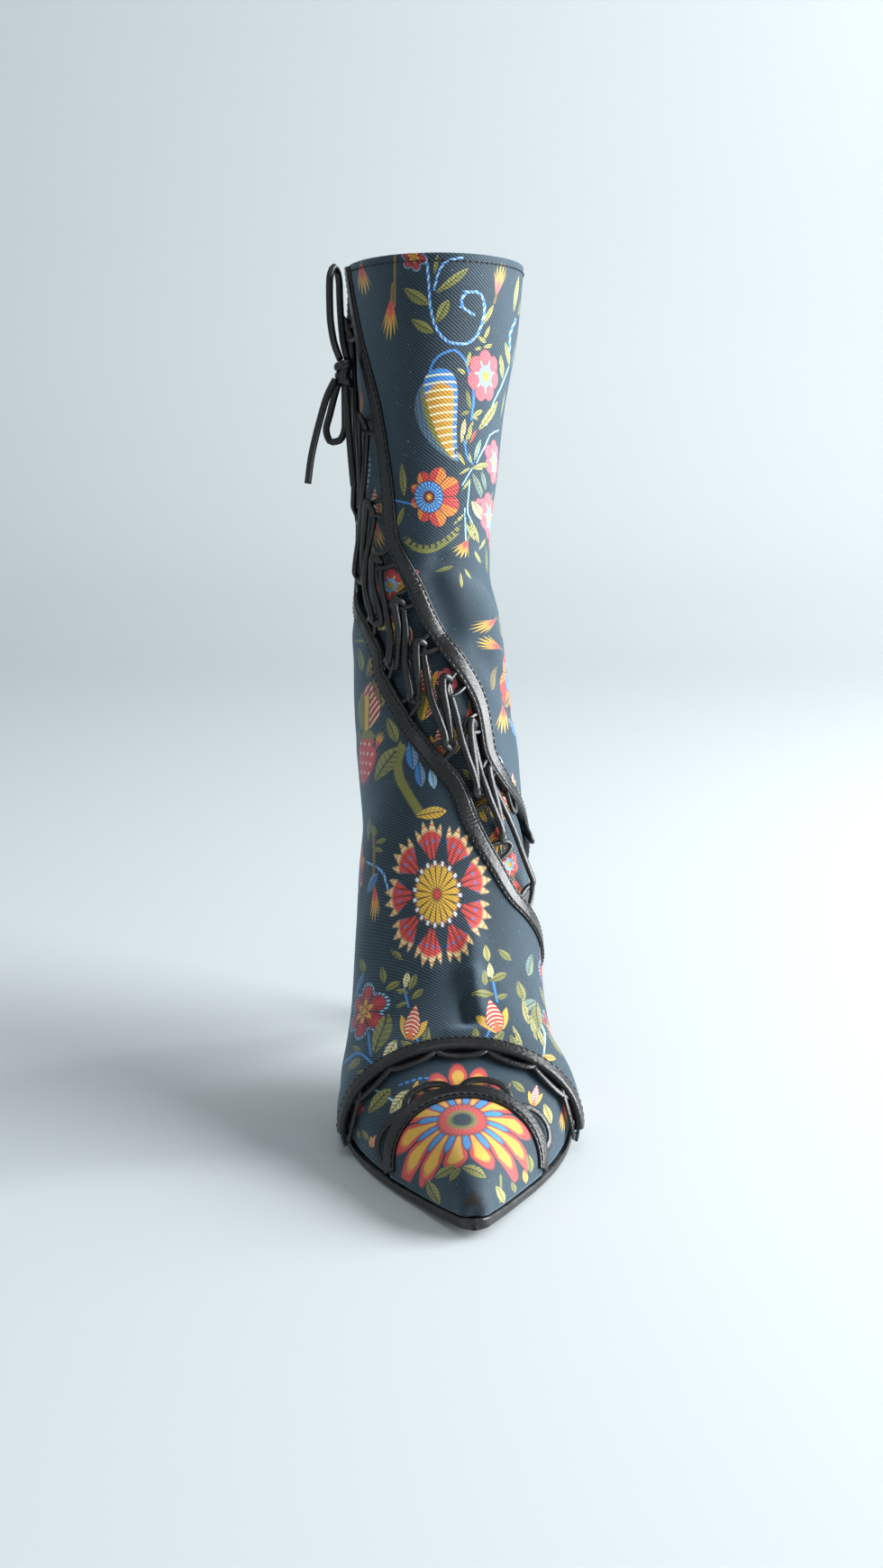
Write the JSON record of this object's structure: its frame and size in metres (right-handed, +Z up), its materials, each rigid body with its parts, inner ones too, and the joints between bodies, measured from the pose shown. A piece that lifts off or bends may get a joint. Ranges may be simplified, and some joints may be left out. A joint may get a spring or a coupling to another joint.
{
  "type": "lace-up boot",
  "caption": "Heeled lace-up boot with a pointed toe, printed twill upper, spiral lacing gap with leather loops, and a side bow.",
  "frame": {"origin": "on the floor, under the middle of the boot's length and width, laces' bow left out", "axes": "+Z up, -Y towards the toe, +X towards the inner side of this right boot"},
  "size_m": [0.0981, 0.2311, 0.3084],
  "materials": {
    "printed_twill": "matte",
    "gusset_cloth": "matte",
    "black_leather": "satin",
    "sole_leather": "satin",
    "insole_board": "matte",
    "heel_rubber": "matte"
  },
  "bodies": {
    "root": {"upper": "printed_twill", "lacing_gusset": "gusset_cloth", "facing_front": "black_leather", "facing_rear": "black_leather", "toe_band": "black_leather", "vamp_band": "black_leather", "lace_crossings": "black_leather", "lace_knot": "black_leather", "bow_loop_up": "black_leather", "bow_loop_down": "black_leather", "lace_end_front": "black_leather", "lace_end_rear": "black_leather", "heel": "black_leather", "outsole": "sole_leather", "insole": "insole_board", "heel_tip": "heel_rubber"}
  },
  "joints": []
}
